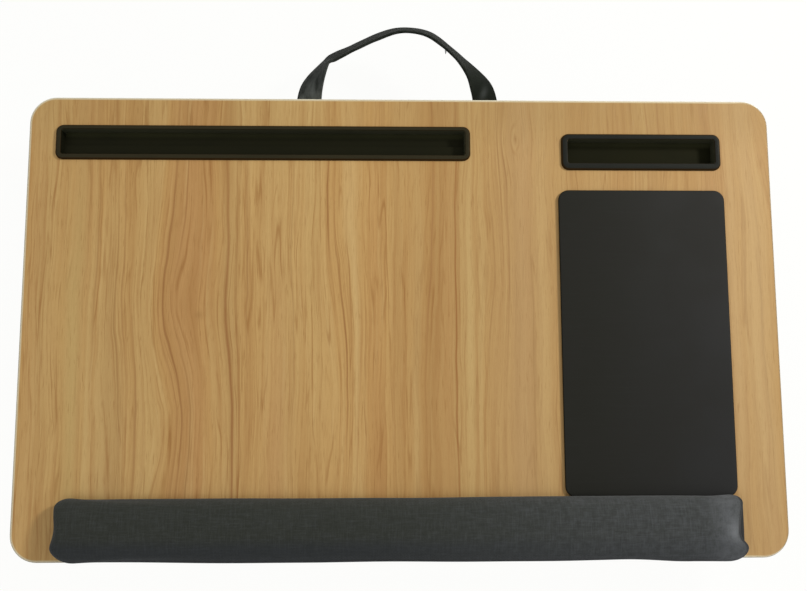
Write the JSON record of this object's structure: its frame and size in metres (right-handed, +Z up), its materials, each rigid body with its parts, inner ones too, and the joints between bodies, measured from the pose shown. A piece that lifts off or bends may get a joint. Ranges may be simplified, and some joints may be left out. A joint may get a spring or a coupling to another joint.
{
  "type": "lap desk",
  "caption": "Flat wood-look lap desk with rounded corners, a long tablet slot, a phone slot, a mouse pad, a padded wrist rest, a fabric carry strap and a two-bolster cushion underneath.",
  "frame": {"origin": "on the surface that the cushion rests on, under the middle of the whole object with its strap", "axes": "+X to the right along the board's long side, +Y away from the user towards the strap, +Z up, square to the board"},
  "size_m": [0.6, 0.4362, 0.0744],
  "materials": {
    "board_core": "matte",
    "top_laminate": "satin",
    "bottom_laminate": "matte",
    "edge_band": "satin",
    "tablet_tray": "satin",
    "phone_tray": "satin",
    "mouse_pad": "matte",
    "mouse_pad_adhesive": "matte",
    "wrist_rest_cover": "matte",
    "wrist_rest_foam": "matte",
    "wrist_rest_base": "matte",
    "wrist_rest_adhesive": "matte",
    "front_bolster_cover": "matte",
    "rear_bolster_cover": "matte",
    "front_bolster_pillow": "matte",
    "rear_bolster_pillow": "matte",
    "loop_strips": "matte",
    "hook_strips": "matte",
    "strap_tail_left": "matte",
    "strap_tail_right": "matte",
    "strap_clamp_plates": "satin",
    "strap_screws": "satin",
    "carry_strap": "matte",
    "zip_tapes": "matte",
    "zip_teeth": "satin",
    "zip_stops": "satin",
    "zip_slider": "satin",
    "zip_pull": "satin"
  },
  "bodies": {
    "desk": {"board_core": "board_core", "top_laminate": "top_laminate", "bottom_laminate": "bottom_laminate", "edge_band": "edge_band", "tablet_tray": "tablet_tray", "phone_tray": "phone_tray", "mouse_pad": "mouse_pad", "mouse_pad_adhesive": "mouse_pad_adhesive", "wrist_rest_cover": "wrist_rest_cover", "wrist_rest_foam": "wrist_rest_foam", "wrist_rest_base": "wrist_rest_base", "wrist_rest_adhesive": "wrist_rest_adhesive", "front_bolster_cover": "front_bolster_cover", "rear_bolster_cover": "rear_bolster_cover", "front_bolster_pillow": "front_bolster_pillow", "rear_bolster_pillow": "rear_bolster_pillow", "loop_strips": "loop_strips", "hook_strips": "hook_strips", "strap_tail_left": "strap_tail_left", "strap_tail_right": "strap_tail_right", "strap_clamp_plates": "strap_clamp_plates", "strap_screws": "strap_screws", "zip_tapes": "zip_tapes", "zip_teeth": "zip_teeth", "zip_stops": "zip_stops"},
    "strap": {"carry_strap": "carry_strap"},
    "slider": {"zip_slider": "zip_slider"},
    "pull": {"zip_pull": "zip_pull"}
  },
  "joints": [
    {"name": "strap_fold", "type": "hinge", "parent": "desk", "child": "strap", "pos_m": [-0.0032, 0.15007, 0.0453], "axis": [1, 0, 0], "range_deg": [-32, 75]},
    {"name": "zip_run", "type": "slide", "parent": "desk", "child": "slider", "axis": [-1, 0, 0], "range_m": [0, 0.2864]},
    {"name": "zip_pull_swing", "type": "hinge", "parent": "slider", "child": "pull", "pos_m": [0.1432, 0.12197, 0.032], "axis": [0, 0, -1], "range_deg": [0, 178]}
  ]
}
